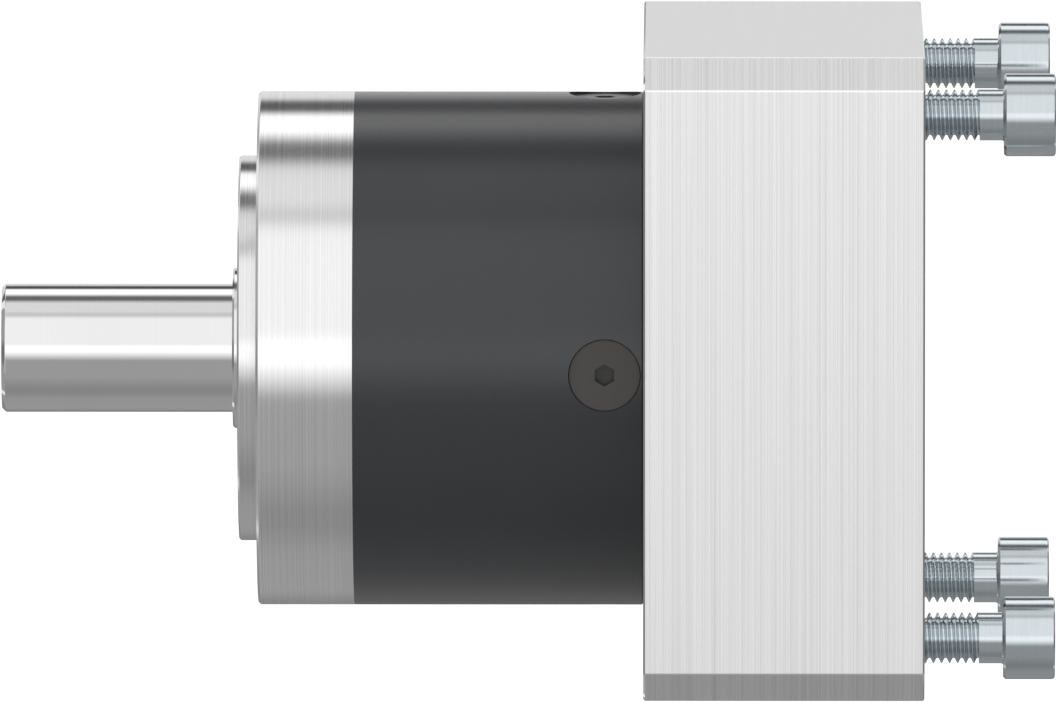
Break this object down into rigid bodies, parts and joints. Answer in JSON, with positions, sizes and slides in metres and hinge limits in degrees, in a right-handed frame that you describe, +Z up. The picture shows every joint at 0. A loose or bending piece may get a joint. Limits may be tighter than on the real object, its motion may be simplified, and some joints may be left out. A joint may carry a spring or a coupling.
{
  "type": "planetary gearbox",
  "caption": "Inline planetary gearbox with a round body, a plain output shaft and a square motor adapter with clamping hub and motor screws.",
  "frame": {"origin": "centre of the output flange's mounting face, on the gearbox axis", "axes": "+X along the gearbox axis to the motor side, so the output shaft points to -X. +Z up, a corner-to-corner pattern of the adapter's screws stands at 45 degrees. -Y is the side that the picture shows."},
  "size_m": [0.1637, 0.1, 0.1],
  "materials": {
    "shaft_steel": "ground and polished",
    "flange_steel": "finely turned",
    "black_steel": "black oxide, satin",
    "adapter_aluminium": "brushed",
    "black_screws": "black oxide",
    "zinc_screws": "zinc plated",
    "gear_steel": "machined",
    "bearing_steel": "polished",
    "spring_steel": "phosphated",
    "seal_case": "sheet steel",
    "cage_plastic": "moulded",
    "black_rubber": "smooth",
    "plug_steel": "zinc plated"
  },
  "bodies": {
    "housing": {"output_flange": "flange_steel", "ring_gear_housing": "black_steel", "input_flange": "adapter_aluminium", "motor_adapter": "adapter_aluminium", "front_bearing_outer_ring": "bearing_steel", "rear_bearing_outer_ring": "bearing_steel", "input_bearing_outer_ring": "bearing_steel", "bearing_spacer_outer": "bearing_steel", "housing_circlip": "spring_steel", "output_seal_case": "seal_case", "output_seal_lip": "black_rubber", "output_seal_spring": "spring_steel", "input_seal_case": "seal_case", "input_seal_lip": "black_rubber", "input_seal_spring": "spring_steel", "output_oring": "black_rubber", "input_oring": "black_rubber", "radial_screws": "black_screws", "adapter_screws": "black_screws", "motor_screws": "zinc_screws", "access_plug": "plug_steel"},
    "carrier": {"output_shaft": "shaft_steel", "carrier_rear_plate": "gear_steel", "carrier_screws": "black_screws", "shaft_circlip": "spring_steel", "front_bearing_inner_ring": "bearing_steel", "rear_bearing_inner_ring": "bearing_steel", "bearing_spacer_inner": "bearing_steel", "planet_pin_1": "bearing_steel", "planet_pin_2": "bearing_steel", "planet_pin_3": "bearing_steel", "planet_washers_1": "bearing_steel", "planet_washers_2": "bearing_steel", "planet_washers_3": "bearing_steel"},
    "planet_1": {"planet_gear_1": "gear_steel"},
    "planet_2": {"planet_gear_2": "gear_steel"},
    "planet_3": {"planet_gear_3": "gear_steel"},
    "rollers_1": {"planet_rollers_1": "bearing_steel"},
    "rollers_2": {"planet_rollers_2": "bearing_steel"},
    "rollers_3": {"planet_rollers_3": "bearing_steel"},
    "sun": {"sun_shaft": "shaft_steel", "clamp_ring": "gear_steel", "clamp_screw": "black_screws", "input_bearing_inner_ring": "bearing_steel"},
    "front_cage": {"front_bearing_cage": "cage_plastic", "front_bearing_balls": "bearing_steel"},
    "rear_cage": {"rear_bearing_cage": "cage_plastic", "rear_bearing_balls": "bearing_steel"},
    "input_cage": {"input_bearing_cage": "cage_plastic", "input_bearing_balls": "bearing_steel"}
  },
  "joints": [
    {"name": "output_shaft_spin", "type": "hinge", "parent": "housing", "child": "carrier", "pos_m": [0, 0, 0], "axis": [1, 0, 0], "continuous": true},
    {"name": "planet_1_spin", "type": "hinge", "parent": "carrier", "child": "planet_1", "pos_m": [0.0395, 0, 0.01875], "axis": [1, 0, 0], "continuous": true},
    {"name": "rollers_1_spin", "type": "hinge", "parent": "carrier", "child": "rollers_1", "pos_m": [0.0395, 0, 0.01875], "axis": [1, 0, 0], "continuous": true},
    {"name": "planet_2_spin", "type": "hinge", "parent": "carrier", "child": "planet_2", "pos_m": [0.0395, -0.01624, -0.00937], "axis": [1, 0, 0], "continuous": true},
    {"name": "rollers_2_spin", "type": "hinge", "parent": "carrier", "child": "rollers_2", "pos_m": [0.0395, -0.01624, -0.00937], "axis": [1, 0, 0], "continuous": true},
    {"name": "planet_3_spin", "type": "hinge", "parent": "carrier", "child": "planet_3", "pos_m": [0.0395, 0.01624, -0.00937], "axis": [1, 0, 0], "continuous": true},
    {"name": "rollers_3_spin", "type": "hinge", "parent": "carrier", "child": "rollers_3", "pos_m": [0.0395, 0.01624, -0.00937], "axis": [1, 0, 0], "continuous": true},
    {"name": "sun_spin", "type": "hinge", "parent": "housing", "child": "sun", "pos_m": [0.055, 0, 0], "axis": [1, 0, 0], "continuous": true},
    {"name": "front_cage_spin", "type": "hinge", "parent": "housing", "child": "front_cage", "pos_m": [0.0105, 0, 0], "axis": [1, 0, 0], "continuous": true},
    {"name": "rear_cage_spin", "type": "hinge", "parent": "housing", "child": "rear_cage", "pos_m": [0.0205, 0, 0], "axis": [1, 0, 0], "continuous": true},
    {"name": "input_cage_spin", "type": "hinge", "parent": "housing", "child": "input_cage", "pos_m": [0.0555, 0, 0], "axis": [1, 0, 0], "continuous": true}
  ],
  "couplings": [
    {"joint": "planet_1_spin", "follows": "output_shaft_spin", "ratio": -2.6667},
    {"joint": "rollers_1_spin", "follows": "output_shaft_spin", "ratio": -1.6},
    {"joint": "planet_2_spin", "follows": "output_shaft_spin", "ratio": -2.6667},
    {"joint": "rollers_2_spin", "follows": "output_shaft_spin", "ratio": -1.6},
    {"joint": "planet_3_spin", "follows": "output_shaft_spin", "ratio": -2.6667},
    {"joint": "rollers_3_spin", "follows": "output_shaft_spin", "ratio": -1.6},
    {"joint": "sun_spin", "follows": "output_shaft_spin", "ratio": 5},
    {"joint": "front_cage_spin", "follows": "output_shaft_spin", "ratio": 0.42836},
    {"joint": "rear_cage_spin", "follows": "output_shaft_spin", "ratio": 0.42836},
    {"joint": "input_cage_spin", "follows": "output_shaft_spin", "ratio": 2.2569}
  ]
}
